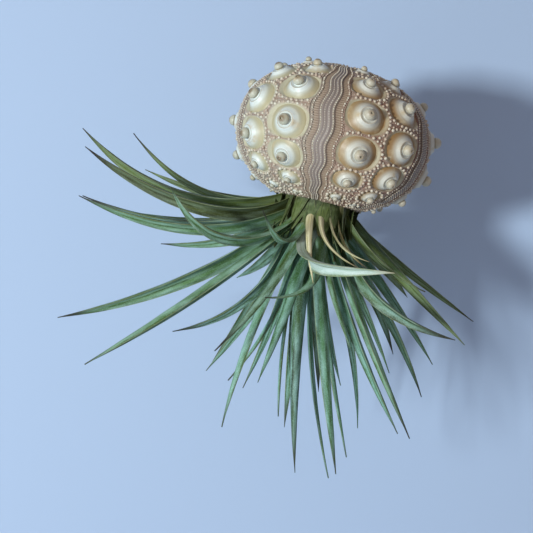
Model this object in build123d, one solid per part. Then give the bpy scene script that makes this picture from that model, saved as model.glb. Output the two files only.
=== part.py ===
# Air plant holder: a dried sea urchin shell, hung by the hole in its crown, with an air plant
# growing down out of its mouth. The shell is laid up from its natural plates: five broad double
# rows that carry the big spine knobs, five narrow winding bands between them, and the crown ring.
# The origin is the middle of the hanging hole and +Z is up, along the shell's axis.
from math import acos, atan2, cos, degrees, hypot, radians, sin, tan
import os

from build123d import *

os.makedirs("parts", exist_ok=True)

# Shell sizes, over the bare wall
shell_diameter = 66
shell_height = 48
wall_thickness = 1.8
mouth_diameter = 25
mouth_rounding = 0.6
crown_diameter = 22
hanging_hole_diameter = 7
crown_plate_thickness = 1.6
crown_groove_width = 0.5
crown_groove_depth = 0.35
suture_gap = 0.12
oblate_power = 0.92
wall_stations = 9
band_stations = 29
sight_limit = 76

# Double rows and winding bands
row_count = 5
row_turn = 360 / row_count
front_band_azimuth = 262.5
band_half_angle = 10
raised_half_angle = 5.4
band_wave_angle = 2.3
pore_zone_depth = 0.5
zigzag_angle = 3.5
first_column_latitudes = [-57, -37, -14, 12, 39, 62]
second_column_latitudes = [-62, -47, -27, -2, 26, 51]
first_column_size_shares = [0.42, 0.72, 0.98, 1, 0.84, 0.42]
second_column_size_shares = [0.3, 0.6, 0.88, 1, 0.94, 0.62]

# Spine knob, at full size: a dished ring, a cone with a parapet, and a pierced ball
dish_radius = 6.3
dish_depth = 0.6
knob_foot_radius = 5.3
knob_foot_sink = 1.35
parapet_radius = 2.9
parapet_height = 1.3
parapet_lip = 0.35
moat_radius = 2.2
moat_depth = 0.3
neck_radius = 1.35
ball_radius = 1.75
ball_height = 2.15
pierced_radius = 0.32
pierced_depth = 0.7

# Air plant
neck_clearance = 0.3
bulb_drop = 20
bulb_root_rise = 14
root_end_radius = 2.6
bulb_tip_radius = 0.8
bulb_stations = 7
bulb_power = 1.5
seat_gap = 0.05
root_radius = 0.35
root_length = 9
root_embed = 1.5
root_azimuths = [20, 95, 160, 235, 300]
leaf_reach = 100
leaf_width = 5.2
leaf_thickness = 0.75
leaf_channel_depth = 1.15
bract_thickness = 0.45

# A leaf's width, thickness and channel along its length, as shares of the full ones
leaf_station_shares = [0, 0.08, 0.22, 0.42, 0.64, 0.84, 1]
leaf_width_shares = [0.8, 0.98, 1.02, 0.86, 0.62, 0.34, 0.07]
leaf_thickness_shares = [1, 1, 0.95, 0.85, 0.75, 0.6, 0.3]
leaf_channel_shares = [0.55, 0.8, 1, 0.9, 0.6, 0.28, 0.05]

# Rings of leaves in the bulb: how far down and how far out each is seated, as shares of the bulb
seat_shares = {
    "outer": (0.1, 0.8),
    "second": (0.27, 0.68),
    "third": (0.42, 0.55),
    "fourth": (0.56, 0.4),
    "heart": (0.66, 0.25),
    "tip": (0.7, 0.11),
}

# Leaves: ring, azimuth on the bulb, points along the leaf as shares of the reach, width share
leaf_shares = {
    "leaf_outer_01": ("outer", 6, [(0.25, 0.02, -0.125), (0.61, 0.06, -0.355)], 0.66),
    "leaf_outer_02": ("outer", 34, [(0.34, 0.16, -0.14), (0.65, 0.24, -0.27)], 0.5),
    "leaf_outer_03": ("outer", 64, [(0.25, 0.33, -0.12), (0.44, 0.6, -0.24)], 0.8),
    "leaf_outer_04": ("outer", 92, [(0.02, 0.42, -0.1), (0.04, 0.76, -0.08)], 0.9),
    "leaf_outer_05": ("outer", 118, [(-0.2, 0.38, -0.11), (-0.36, 0.68, -0.04)], 0.8),
    "leaf_outer_06": ("outer", 142, [(-0.36, 0.22, -0.05), (-0.63, 0.32, -0.01)], 0.62),
    "leaf_outer_07": ("outer", 162, [(-0.4, 0.1, -0.05), (-0.68, 0.14, 0.095)], 0.5),
    "leaf_outer_08": ("outer", 184, [(-0.39, -0.02, -0.095), (-0.835, 0.0, 0.06)], 0.95),
    "leaf_outer_09": ("outer", 210, [(-0.19, -0.11, -0.09), (-0.47, -0.17, -0.112), (-0.78, -0.2, -0.01)], 0.8),
    "leaf_outer_10": ("outer", 342, [(0.24, -0.1, -0.15), (0.41, -0.14, -0.21)], 0.42),
    "leaf_second_01": ("second", 20, [(0.26, 0.09, -0.2), (0.53, 0.14, -0.45)], 0.6),
    "leaf_second_02": ("second", 48, [(0.24, 0.24, -0.22), (0.42, 0.44, -0.46)], 0.72),
    "leaf_second_03": ("second", 78, [(0.07, 0.36, -0.22), (0.12, 0.66, -0.34)], 0.8),
    "leaf_second_04": ("second", 108, [(-0.12, 0.35, -0.22), (-0.22, 0.63, -0.32)], 0.78),
    "leaf_second_05": ("second", 136, [(-0.28, 0.25, -0.2), (-0.52, 0.42, -0.26)], 0.7),
    "leaf_second_06": ("second", 160, [(-0.36, 0.13, -0.15), (-0.65, 0.2, -0.176)], 0.55),
    "leaf_second_07": ("second", 181, [(-0.38, 0.01, -0.17), (-0.785, 0.02, -0.162)], 0.66),
    "leaf_second_08": ("second", 204, [(-0.31, -0.14, -0.175), (-0.76, -0.22, -0.17)], 0.75),
    "leaf_second_09": ("second", 228, [(-0.17, -0.2, -0.18), (-0.29, -0.3, -0.2), (-0.464, -0.38, -0.08)], 0.8),
    "leaf_second_10": ("second", 250, [(-0.08, -0.25, -0.165), (-0.17, -0.4, -0.084)], 0.5),
    "leaf_second_11": ("second", 284, [(0.01, -0.28, -0.215), (0.1, -0.4, -0.215), (0.266, -0.45, -0.18)], 0.9),
    "leaf_second_12": ("second", 338, [(0.215, -0.12, -0.25), (0.53, -0.22, -0.34)], 0.9),
    "leaf_third_01": ("third", 2, [(0.27, 0.02, -0.27), (0.499, 0.0, -0.56)], 0.66),
    "leaf_third_02": ("third", 36, [(0.24, 0.16, -0.3), (0.4, 0.24, -0.52)], 0.45),
    "leaf_third_03": ("third", 76, [(0.1, 0.27, -0.38), (0.18, 0.42, -0.66)], 0.75),
    "leaf_third_04": ("third", 116, [(-0.13, 0.24, -0.38), (-0.23, 0.38, -0.64)], 0.72),
    "leaf_third_05": ("third", 152, [(-0.28, 0.13, -0.3), (-0.516, 0.18, -0.458)], 0.66),
    "leaf_third_06": ("third", 184, [(-0.33, -0.03, -0.335), (-0.765, -0.02, -0.584)], 0.9),
    "leaf_third_07": ("third", 217, [(-0.26, -0.14, -0.35), (-0.62, -0.18, -0.7)], 1),
    "leaf_third_08": ("third", 246, [(-0.11, -0.24, -0.37), (-0.215, -0.33, -0.547)], 0.62),
    "leaf_third_09": ("third", 272, [(-0.03, -0.33, -0.33), (-0.1, -0.37, -0.345)], 0.55),
    "leaf_third_10": ("third", 298, [(0.13, -0.24, -0.33), (0.2, -0.32, -0.44)], 0.55),
    "leaf_third_11": ("third", 328, [(0.25, -0.14, -0.4), (0.47, -0.16, -0.69)], 0.75),
    "leaf_fourth_01": ("fourth", 348, [(0.24, -0.04, -0.44), (0.444, -0.04, -0.696)], 0.72),
    "leaf_fourth_02": ("fourth", 38, [(0.22, 0.14, -0.42), (0.337, 0.25, -0.74)], 0.45),
    "leaf_fourth_03": ("fourth", 88, [(0.04, 0.19, -0.5), (0.08, 0.26, -0.8)], 0.7),
    "leaf_fourth_04": ("fourth", 136, [(-0.13, 0.12, -0.42), (-0.24, 0.18, -0.66)], 0.6),
    "leaf_fourth_05": ("fourth", 180, [(-0.198, -0.01, -0.43), (-0.377, 0.0, -0.54)], 0.65),
    "leaf_fourth_06": ("fourth", 226, [(-0.1, -0.16, -0.43), (-0.138, -0.22, -0.789)], 0.78),
    "leaf_fourth_07": ("fourth", 264, [(-0.03, -0.25, -0.42), (-0.06, -0.33, -0.612)], 0.62),
    "leaf_fourth_08": ("fourth", 302, [(0.12, -0.16, -0.475), (0.261, -0.17, -0.858)], 0.92),
    "leaf_heart_01": ("heart", 324, [(0.16, -0.06, -0.52), (0.294, -0.05, -0.812)], 0.62),
    "leaf_heart_02": ("heart", 264, [(0.043, -0.12, -0.5), (0.132, -0.13, -0.891)], 0.6),
    "leaf_heart_03": ("heart", 214, [(-0.08, -0.08, -0.5), (-0.155, -0.1, -0.649)], 0.55),
    "leaf_heart_04": ("heart", 18, [(0.14, 0.05, -0.42), (0.23, 0.1, -0.593)], 0.5),
}
heart_leaf_shares = [
    ("heart", 84, [(0.03, 0.1, -0.46), (0.06, 0.15, -0.6)], 0.5),
    ("heart", 150, [(-0.06, 0.06, -0.48), (-0.1, 0.08, -0.68)], 0.5),
    ("tip", 330, [(0.11, -0.01, -0.56), (0.256, 0.0, -0.902)], 0.5),
    ("tip", 90, [(0.03, 0.03, -0.5), (0.078, 0.06, -0.673)], 0.4),
    ("tip", 210, [(0.0, -0.02, -0.48), (0.038, -0.02, -0.736)], 0.4),
]
bract_shares = [
    ("outer", 258, [(0.0, -0.2, -0.15), (0.04, -0.27, -0.27)], 0.55),
    ("outer", 282, [(0.06, -0.21, -0.14), (0.18, -0.29, -0.19)], 0.5),
    ("outer", 300, [(0.1, -0.18, -0.13), (0.2, -0.24, -0.16)], 0.4),
    ("outer", 318, [(0.12, -0.14, -0.13), (0.2, -0.19, -0.18)], 0.4),
]

# Places worked out from the sizes
shell_radius = shell_diameter / 2
shell_half_height = shell_height / 2
mouth_radius = mouth_diameter / 2
crown_radius = crown_diameter / 2
hole_radius = hanging_hole_diameter / 2
bulb_radius = mouth_radius - neck_clearance


def wall_height(radius, inset=0):
    """Height over the shell's centre of the wall's face at a radius; inset goes in from the outside."""
    side = (radius / (shell_radius - inset)) ** (1 / oblate_power)
    return (shell_half_height - inset) * sin(acos(side)) ** oblate_power


def wall_latitude(radius, inset=0):
    """Profile angle, in degrees, at which the wall's face has a radius."""
    return degrees(acos((radius / (shell_radius - inset)) ** (1 / oblate_power)))


def wall_point(latitude, inset=0):
    """Radius and height of the wall's face at a profile angle, from the shell's centre."""
    rise = sin(radians(latitude))
    height = (shell_half_height - inset) * abs(rise) ** oblate_power
    return (
        (shell_radius - inset) * cos(radians(latitude)) ** oblate_power,
        height if rise > 0 else -height,
    )


centre_drop = wall_height(hole_radius) - crown_plate_thickness / 2
mouth_drop = centre_drop + wall_height(mouth_radius)


def wall_curve(first_radius, last_radius, inset):
    """The wall's face in profile, from the mouth's edge to the crown's edge."""
    low, high = -wall_latitude(first_radius, inset), wall_latitude(last_radius, inset)
    steps = [low + (high - low) * i / (wall_stations - 1) for i in range(wall_stations)]
    return Spline([wall_point(step, inset) for step in steps])


def shell_wall(outer_inset):
    """The whole shell as one turned wall, open at the mouth and at the crown."""
    outside = wall_curve(mouth_radius, crown_radius, outer_inset)
    inside = wall_curve(mouth_radius, crown_radius, wall_thickness)
    mouth_edge = Line(inside @ 0, outside @ 0)
    crown_edge = Line(outside @ 1, inside @ 1)
    profile = make_face([outside, crown_edge, inside, mouth_edge])
    corners = profile.vertices().sort_by(Axis.Y)[:2]
    return revolve(Plane.XZ * fillet(corners, mouth_rounding), Axis.Z)


def sight_angle(latitude):
    """Angle above the equator, seen from the shell's centre, of a profile angle."""
    radius, height = wall_point(latitude)
    return degrees(atan2(height, radius))


far_plane = shell_radius * 1.15


def on_far_plane(side_angle, latitude):
    """Where a line of sight from the shell's centre meets the far plane."""
    rise = tan(radians(sight_angle(latitude))) / cos(radians(side_angle))
    return far_plane * tan(radians(side_angle)), far_plane * rise


def sight_block(outline, azimuth):
    """All that lies behind an outline as seen from the shell's centre, facing an azimuth."""
    far = Plane((far_plane, 0, 0), x_dir=(0, 1, 0), z_dir=(1, 0, 0)) * outline
    return Rot(Z=azimuth) * loft([Vertex(0, 0, 0), far], ruled=True)


def band_lean(latitude):
    """How far a band leans, in degrees, at a latitude: away from each knob beside it."""
    leans = [(knob_latitude, 1) for knob_latitude in second_column_latitudes]
    leans += [(knob_latitude, -1) for knob_latitude in first_column_latitudes]
    leans = sorted([(-sight_limit, 0), (sight_limit, 0)] + leans)
    for (low, low_lean), (high, high_lean) in zip(leans, leans[1:]):
        if latitude <= high:
            break
    share = (1 - cos(radians(180 * (latitude - low) / (high - low)))) / 2
    return band_wave_angle * (low_lean + (high_lean - low_lean) * share)


def band_edge(half_angle):
    """One winding edge of a band on the far plane."""
    latitudes = [sight_limit * (2 * i / (band_stations - 1) - 1) for i in range(band_stations)]
    return [on_far_plane(half_angle + band_lean(latitude), latitude) for latitude in latitudes]


def band_outline(half_angle):
    """A band's outline on the far plane, from one winding edge to the other."""
    right = Spline(band_edge(half_angle))
    left = Spline(band_edge(-half_angle))
    return make_face([right, Line(right @ 1, left @ 1), left, Line(left @ 0, right @ 0)])


def winding_band():
    """One winding band: two sunk pore zones with the raised zone between them."""
    gap_angle = degrees(suture_gap / 2 / shell_radius)
    sunk = shell_wall(pore_zone_depth) & sight_block(band_outline(band_half_angle - gap_angle), 0)
    raised = shell_wall(0) & sight_block(band_outline(raised_half_angle), 0)
    return sunk + raised


def sutures(latitudes):
    """The latitudes between the knobs of one column, closed by the mouth and the crown."""
    between = [(low + high) / 2 for low, high in zip(latitudes, latitudes[1:])]
    return [-sight_limit, *between, sight_limit]


def plate_outline(side, low, high):
    """A five-sided plate on the far plane; side is -1 for the first column and 1 for the second."""
    band = side * row_turn / 2
    shift = side * zigzag_angle / 2
    middle = (low + high) / 2
    points = [
        on_far_plane(band, low),
        on_far_plane(shift, low),
        on_far_plane(-shift, middle),
        on_far_plane(shift, high),
        on_far_plane(band, high),
    ]
    return offset(make_face(Polyline(*points, close=True)), -suture_gap / 2, kind=Kind.INTERSECTION)


def knob_frame(side_angle, latitude):
    """A plane on the wall's outer face, with its z axis straight out."""
    radius, height = wall_point(latitude)
    step = 0.5
    after, before = wall_point(latitude + step), wall_point(latitude - step)
    slope = Vector(before[1] - after[1], 0, after[0] - before[0]) * -1
    place = Plane((radius, 0, height), x_dir=(0, 1, 0), z_dir=slope.normalized())
    return Rot(Z=side_angle) * place.location


def knob(size_share):
    """The spine knob: cone, parapet, moat, neck and pierced ball, turned about its own axis."""
    top = ball_height + ball_radius
    neck_rise = (ball_radius**2 - neck_radius**2) ** 0.5
    pierced_rise = (ball_radius**2 - pierced_radius**2) ** 0.5
    foot = (knob_foot_radius, -knob_foot_sink)
    parapet = (parapet_radius, parapet_height)
    flank = Spline([foot, parapet], tangents=[(-1, 0.25), (-0.25, 1)])
    ball = ThreePointArc(
        (neck_radius, ball_height - neck_rise),
        (ball_radius, ball_height),
        (pierced_radius, ball_height + pierced_rise),
    )
    rim = Polyline(
        parapet,
        (parapet_radius - parapet_lip, parapet_height),
        (moat_radius, parapet_height - moat_depth),
        (neck_radius, parapet_height - moat_depth),
        ball @ 0,
    )
    core = Polyline(
        ball @ 1,
        (pierced_radius, top - pierced_depth),
        (0, top - pierced_depth),
        (0, -knob_foot_sink),
        foot,
    )
    turned = revolve(Plane.XZ * make_face([flank, rim, ball, core]), Axis.Z)
    return scale(turned, by=size_share)


def dish(size_share):
    """What is taken out of a plate around its knob: a shallow ring that rises to a rim."""
    sag = dish_radius**2 / shell_diameter
    floor = -sag - dish_depth
    bed = Spline([(dish_radius, -sag), (knob_foot_radius, floor), (0, floor)], tangents=[(-1, -1), (-1, 0)])
    lid = Polyline(bed @ 1, (0, ball_height), (dish_radius, ball_height), bed @ 0)
    turned = revolve(Plane.XZ * make_face([bed, lid]), Axis.Z)
    return scale(turned, by=size_share)


def knob_row():
    """One double row: two columns of five-sided plates, each with its dish and knob."""
    wall = shell_wall(0)
    wall -= sight_block(band_outline(band_half_angle), -row_turn / 2)
    wall -= sight_block(band_outline(band_half_angle), row_turn / 2)
    wall = wall.solids().sort_by(Axis.X)[-1]
    plates = []
    columns = (
        (-1, first_column_latitudes, first_column_size_shares),
        (1, second_column_latitudes, second_column_size_shares),
    )
    for side, latitudes, size_shares in columns:
        knob_angle = side * (row_turn / 2 - band_half_angle + zigzag_angle / 2) / 2
        edges = sutures(latitudes)
        for low, high, latitude, size_share in zip(edges, edges[1:], latitudes, size_shares):
            plate = wall & sight_block(plate_outline(side, low, high), 0)
            place = knob_frame(knob_angle, latitude)
            plate = plate - place * dish(size_share) + place * knob(size_share)
            plates.append(plate.solids().sort_by(SortBy.VOLUME)[-1])
    return plates


def crown_ring():
    """The crown ring, whose middle is the hanging hole, scored between its ten plates."""
    ring_radius = crown_radius - suture_gap
    radii = [ring_radius, (ring_radius + hole_radius) / 2, hole_radius]
    top = Spline([(radius, wall_height(radius)) for radius in radii])
    base = Spline([(radius, wall_height(radius) - crown_plate_thickness) for radius in reversed(radii)])
    profile = make_face([top, Line(top @ 1, base @ 0), base, Line(base @ 1, top @ 0)])
    ring = revolve(Plane.XZ * profile, Axis.Z)
    groove_span = crown_radius - hole_radius - crown_groove_width
    groove = Box(groove_span, crown_groove_width, crown_groove_depth * 2)
    lean = degrees(atan2(wall_height(crown_radius) - wall_height(hole_radius), crown_radius - hole_radius))
    middle_radius = (crown_radius + hole_radius + crown_groove_width) / 2
    middle = Pos(middle_radius, 0, wall_height(middle_radius)) * Rot(Y=-lean)
    return ring - [Rot(Z=row_turn * (i + 0.5) / 2) * middle * groove for i in range(row_count * 2)]


def bulb_outline_radius(drop, grow=0):
    """Radius of the bulb of packed leaf bases at a drop below the mouth; above it drop is negative."""
    if drop < 0:
        share = (-drop / bulb_root_rise) ** 2
        return root_end_radius + (bulb_radius - root_end_radius) * (1 - share) + grow
    return bulb_radius * (1 - (drop / bulb_drop) ** bulb_power) + grow


def bulb(grow=0):
    """The bulb of packed leaf bases, from its root end down to the growing tip."""
    shoulder = [-bulb_root_rise * i / (bulb_stations - 1) for i in reversed(range(bulb_stations))]
    taper = [bulb_drop * i / bulb_stations for i in range(1, bulb_stations)]
    side = Spline([(bulb_outline_radius(drop, grow), -drop) for drop in shoulder + taper])
    tip = Polyline(side @ 1, (bulb_tip_radius, -bulb_drop - grow), (0, -bulb_drop - grow))
    axis = Line(tip @ 1, (0, bulb_root_rise))
    end = Line(axis @ 1, side @ 0)
    return revolve(Plane.XZ * make_face([side, tip, axis, end]), Axis.Z)


def along(points, share):
    """A point on the smooth curve through all the points, spaced by their distances."""
    spans = [hypot(*(b - a for a, b in zip(p, q))) for p, q in zip(points, points[1:])]
    knots = [sum(spans[:i]) / sum(spans) for i in range(len(points))]
    total = Vector(0, 0, 0)
    for i, point in enumerate(points):
        weight = 1
        for j, knot in enumerate(knots):
            if j != i:
                weight *= (share - knot) / (knots[i] - knot)
        total += Vector(*point) * weight
    return total


def blade(ring, azimuth, point_shares, width_share, thickness):
    """One leaf: a channelled blade lofted along its curve, from inside the bulb to its fine point."""
    level, out = seat_shares[ring]
    outward = Vector(cos(radians(azimuth)), sin(radians(azimuth)), 0)
    seat = outward * (out * bulb_radius) - Vector(0, 0, level * bulb_drop)
    points = [tuple(seat)] + [tuple(leaf_reach * share for share in point) for point in point_shares]
    half_width = leaf_width * width_share / 2
    inward = outward * -1
    sections = []
    stations = zip(leaf_station_shares, leaf_width_shares, leaf_thickness_shares, leaf_channel_shares)
    nudge = 0.01
    for station, wide, thick, deep in stations:
        middle = along(points, station)
        run = (along(points, station + nudge) - along(points, station - nudge)).normalized()
        inward = (inward - run * inward.dot(run)).normalized()
        across = run.cross(inward)
        edge = half_width * wide
        back = -leaf_channel_depth * width_share * deep
        face = back + thickness * thick
        section = Plane(middle, x_dir=across, z_dir=run)
        outer_arc = ThreePointArc((-edge, 0), (0, back), (edge, 0))
        inner_arc = ThreePointArc((edge, 0), (0, face), (-edge, 0))
        sections.append(section * make_face([outer_arc, inner_arc]))
    return loft(sections) - bulb(seat_gap)


def roots():
    """Short dry roots on the bulb's root end, inside the shell."""
    strands = []
    for i, azimuth in enumerate(root_azimuths):
        foot_radius = root_end_radius / 2
        spread = root_length * (0.35 + 0.1 * (i % 2))
        rise = root_length * (0.9 - 0.15 * (i % 3))
        line = Spline(
            (foot_radius, 0, bulb_root_rise),
            (foot_radius + spread / 3, 0, bulb_root_rise + rise / 2),
            (foot_radius + spread, 0, bulb_root_rise + rise),
        )
        strand = sweep(Plane(line @ 0, z_dir=line % 0) * Circle(root_radius), path=line)
        strands.append(Rot(Z=azimuth) * strand - bulb())
    return strands


def write(node, shapes, drop):
    """One node's file, with its solids lowered to their place under the hanging hole."""
    solids = [solid for shape in shapes for solid in (Pos(0, 0, -drop) * shape).solids()]
    export_step(Compound(children=solids) if len(solids) > 1 else solids[0], f"parts/{node}.step")


row_plates = knob_row()
band = winding_band()
for i in range(row_count):
    turn = front_band_azimuth + row_turn * i
    write(f"knob_row_{i + 1}", [Rot(Z=turn + row_turn / 2) * plate for plate in row_plates], centre_drop)
    write(f"winding_band_{i + 1}", [Rot(Z=turn) * band], centre_drop)
write("crown_ring", [crown_ring()], centre_drop)
write("leaf_base_bulb", [bulb()], mouth_drop)
write("roots", roots(), mouth_drop)
for name, leaf in leaf_shares.items():
    write(name, [blade(*leaf, leaf_thickness)], mouth_drop)
write("heart_leaves", [blade(*leaf, leaf_thickness) for leaf in heart_leaf_shares], mouth_drop)
write("dry_leaves", [blade(*bract, bract_thickness) for bract in bract_shares], mouth_drop)
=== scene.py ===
# %% [markdown]
# # Air plant holder: a hanging sea urchin shell with an air plant in its mouth
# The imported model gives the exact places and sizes, and this lesson dresses it. The shell gets its
# sculpted plates, beads and turned knobs, and the plant gets channelled, frosted leaves. Lengths are
# in metres, but where millimetres are named, and the origin is the middle of the crown's hanging hole.

import math

import bmesh
import bpy
import numpy as np
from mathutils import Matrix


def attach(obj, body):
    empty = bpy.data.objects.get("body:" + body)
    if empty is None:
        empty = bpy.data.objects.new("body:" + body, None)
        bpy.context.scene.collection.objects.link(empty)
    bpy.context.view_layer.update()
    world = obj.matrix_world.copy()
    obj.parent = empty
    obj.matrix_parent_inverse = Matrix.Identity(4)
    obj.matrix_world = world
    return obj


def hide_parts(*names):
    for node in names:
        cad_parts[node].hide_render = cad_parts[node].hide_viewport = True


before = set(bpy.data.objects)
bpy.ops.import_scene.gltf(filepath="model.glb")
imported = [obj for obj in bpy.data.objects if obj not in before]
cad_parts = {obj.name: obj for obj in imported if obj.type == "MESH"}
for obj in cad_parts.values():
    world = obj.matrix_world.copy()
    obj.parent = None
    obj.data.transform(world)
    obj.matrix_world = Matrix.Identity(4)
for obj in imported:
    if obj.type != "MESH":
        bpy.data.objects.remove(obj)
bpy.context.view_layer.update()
bpy.ops.object.select_all(action="DESELECT")
scene = bpy.context.scene
scene.view_settings.view_transform = "Standard"
mm = 0.001

# %% [markdown]
# ## The camera
# The photo is taken level with the holder from about 43 cm away, a little tilted, so the shell's axis
# leans to the right. The camera is placed first, from the shell's middle: the picture's own right and
# up directions are turned by the tilt, and the shell sits right of and above the picture's centre.

# %% Camera
shell_middle = np.array([0, 0, -23.12 * mm])
camera_tilt = math.radians(13.5)
camera_distance = 430 * mm
middle_in_picture = (22.6 * mm, 43.7 * mm)
picture_right = np.array([math.cos(camera_tilt), 0, math.sin(camera_tilt)])
picture_up = np.array([-math.sin(camera_tilt), 0, math.cos(camera_tilt)])
camera_place = shell_middle - middle_in_picture[0] * picture_right - middle_in_picture[1] * picture_up
camera_place = camera_place + np.array([0, -camera_distance, 0])
bpy.ops.object.camera_add(location=camera_place, rotation=(math.radians(90), -camera_tilt, 0))
camera = bpy.context.object
camera.data.sensor_width = 36
camera.data.lens = 85.4
camera.data.clip_start = 10 * mm
scene.camera = camera
print("camera at", [round(float(x), 4) for x in camera_place])

# %% [markdown]
# ## Finishes made of nodes
# Natural surfaces are never one flat colour, so each finish mixes several colours by a pattern. A few
# helpers keep that short: the first adds a node and wires it, and the others are built on it.

# %% Helpers for finishes
def wire(tree, kind, inputs=None, **settings):
    """Adds a shader node; inputs are values or other nodes' sockets, by socket name or number."""
    node = tree.nodes.new("ShaderNode" + kind)
    for name, value in settings.items():
        setattr(node, name, value)
    for socket, value in (inputs or {}).items():
        if isinstance(value, bpy.types.NodeSocket):
            tree.links.new(value, node.inputs[socket])
        else:
            node.inputs[socket].default_value = value
    return node


def grow(kind, inputs, **settings):
    """Adds a shader node to the tree that its inputs' sockets are in."""
    sockets = [value for value in inputs.values() if isinstance(value, bpy.types.NodeSocket)]
    return wire(sockets[0].id_data, kind, inputs, **settings)


def ramp(factor, stops):
    """A colour ramp's colour socket; stops are (place, colour) from low to high."""
    node = grow("ValToRGB", {"Fac": factor})
    while len(node.color_ramp.elements) < len(stops):
        node.color_ramp.elements.new(0.5)
    for element, (place, colour) in zip(node.color_ramp.elements, stops):
        element.position = place
        element.color = (*colour, 1)
    return node.outputs["Color"]


def mix(factor, first, second, blend="MIX"):
    """Two colours mixed; each is a socket or (r, g, b)."""
    inputs = {0: factor}
    for number, colour in ((6, first), (7, second)):
        inputs[number] = colour if isinstance(colour, bpy.types.NodeSocket) else (*colour, 1)
    return grow("Mix", inputs, data_type="RGBA", blend_type=blend).outputs[2]


def level(value, low, high):
    """A value's smooth step from 0 at low to 1 at high."""
    inputs = {"Value": value, "From Min": low, "From Max": high}
    return grow("MapRange", inputs, interpolation_type="SMOOTHSTEP").outputs["Result"]


def sums(kind, first, second):
    """One sum on two values."""
    return grow("Math", {0: first, 1: second}, operation=kind).outputs[0]


def times(first, second):
    """The product of two values."""
    return sums("MULTIPLY", first, second)


def plus(first, second):
    """Two values added."""
    return sums("ADD", first, second)


def tinted(colour, tint):
    """A colour multiplied by another."""
    return mix(1.0, colour, tint, "MULTIPLY")


def off_middle(share):
    """How far a share is off its middle: 0 there, and 1 at either side."""
    return sums("ABSOLUTE", sums("SUBTRACT", times(share, 2.0), 1.0), 0.0)


def noise(coordinates, grain, detail=3, roughness=0.55):
    """A noise value; grain is how many features fit in one unit of the coordinates."""
    inputs = {"Vector": coordinates, "Scale": grain, "Detail": detail, "Roughness": roughness}
    return grow("TexNoise", inputs).outputs["Fac"]


def stretched(coordinates, by):
    """Coordinates stretched by three factors."""
    return grow("Mapping", {"Vector": coordinates, "Scale": by}).outputs["Vector"]


def new_finish(name, roughness):
    """A new material's node tree and its shader."""
    material = bpy.data.materials.new(name)
    material.use_nodes = True
    shader = material.node_tree.nodes["Principled BSDF"]
    shader.inputs["Roughness"].default_value = roughness
    return material, material.node_tree, shader


def end_finish(shader, colour, height=None, strength=0.3, distance=0.2 * mm):
    """Wires the colour in, and a bump where there is a height."""
    links = shader.id_data.links
    links.new(colour, shader.inputs["Base Color"])
    if height is not None:
        bump = grow("Bump", {"Strength": strength, "Distance": distance, "Height": height})
        links.new(bump.outputs["Normal"], shader.inputs["Normal"])


def object_place(tree):
    """The place of a point in the object's own coordinates."""
    return wire(tree, "TexCoord").outputs["Object"]


def attribute(tree, name):
    """The value of a point attribute that the piece's own mesh carries."""
    return wire(tree, "Attribute", attribute_name=name).outputs["Fac"]


# %% [markdown]
# ## Laid grids
# The shell's plates and the leaves are all sheets that curve in space. By hand each would start as a
# flat grid that is bent and pulled into place, so one helper does that: it adds a grid, asks where each
# point goes from its two shares across and along the sheet, and moves it there.

# %% Helpers for laid sheets
def laid_grid(name, across, along, place):
    """A sheet whose points are moved to place(u, v), with u across and v along, from 0 to 1."""
    bpy.ops.object.select_all(action="DESELECT")
    bpy.ops.mesh.primitive_grid_add(x_subdivisions=across, y_subdivisions=along, size=1)
    piece = bpy.context.object
    piece.name = piece.data.name = name
    flat = np.empty(len(piece.data.vertices) * 3)
    piece.data.vertices.foreach_get("co", flat)
    shares = flat.reshape(-1, 3)[:, :2] + 0.5
    points = place(shares[:, 0], shares[:, 1])
    piece.data.vertices.foreach_set("co", points.ravel())
    piece.data.update()
    return piece


def map_shares(piece):
    """Every point's shares across and along a laid sheet, read back from the sheet's own map."""
    corners = piece.data.loops
    shares, owners = np.empty(len(corners) * 2), np.empty(len(corners), int)
    piece.data.uv_layers[0].data.foreach_get("uv", shares)
    corners.foreach_get("vertex_index", owners)
    point_shares = np.zeros((len(piece.data.vertices), 2))
    point_shares[owners] = shares.reshape(-1, 2)
    return point_shares[:, 0], point_shares[:, 1]


def thicken(piece, thickness, offset, weights=None):
    """Gives a sheet its thickness, which a weight on each point can thin."""
    wall = piece.modifiers.new("Wall", "SOLIDIFY")
    wall.thickness = thickness
    wall.offset = offset
    if weights is not None:
        group = piece.vertex_groups.new(name="thickness")
        for number, weight in enumerate(weights):
            group.add([number], float(weight), "REPLACE")
        wall.vertex_group = group.name
    bpy.ops.object.modifier_apply(modifier=wall.name)


def smooth(piece, degrees):
    """Smooth shading, but for edges sharper than that angle."""
    bpy.ops.object.select_all(action="DESELECT")
    piece.select_set(True)
    bpy.context.view_layer.objects.active = piece
    bpy.ops.object.shade_smooth_by_angle(angle=math.radians(degrees))


def carry(piece, name, values):
    """Stores one value per point on the piece's mesh, for its finish to read."""
    stored = piece.data.attributes.new(name, "FLOAT", "POINT")
    stored.data.foreach_set("value", np.asarray(values, dtype=np.float32))


def coat(piece, material):
    """Gives a piece one finish, in place of any it has."""
    piece.data.materials.clear()
    piece.data.materials.append(material)


def dress(piece, material, body, slot_name, *nodes):
    """Gives a piece its finish and its body, and hides the nodes it stands for; the slot's name is not
    used.
    """
    coat(piece, material)
    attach(piece, body)
    if nodes:
        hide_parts(*nodes)


# %% [markdown]
# ## The shell's wall
# The shell is a flattened globe. Its profile and the lean of its winding bands are the model's own, so
# the sculpted plates lie exactly on the solids. A share along a row is turned into a latitude by length
# along the profile, so that the grid's rows are evenly spaced from the mouth's edge to the crown's.

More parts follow.
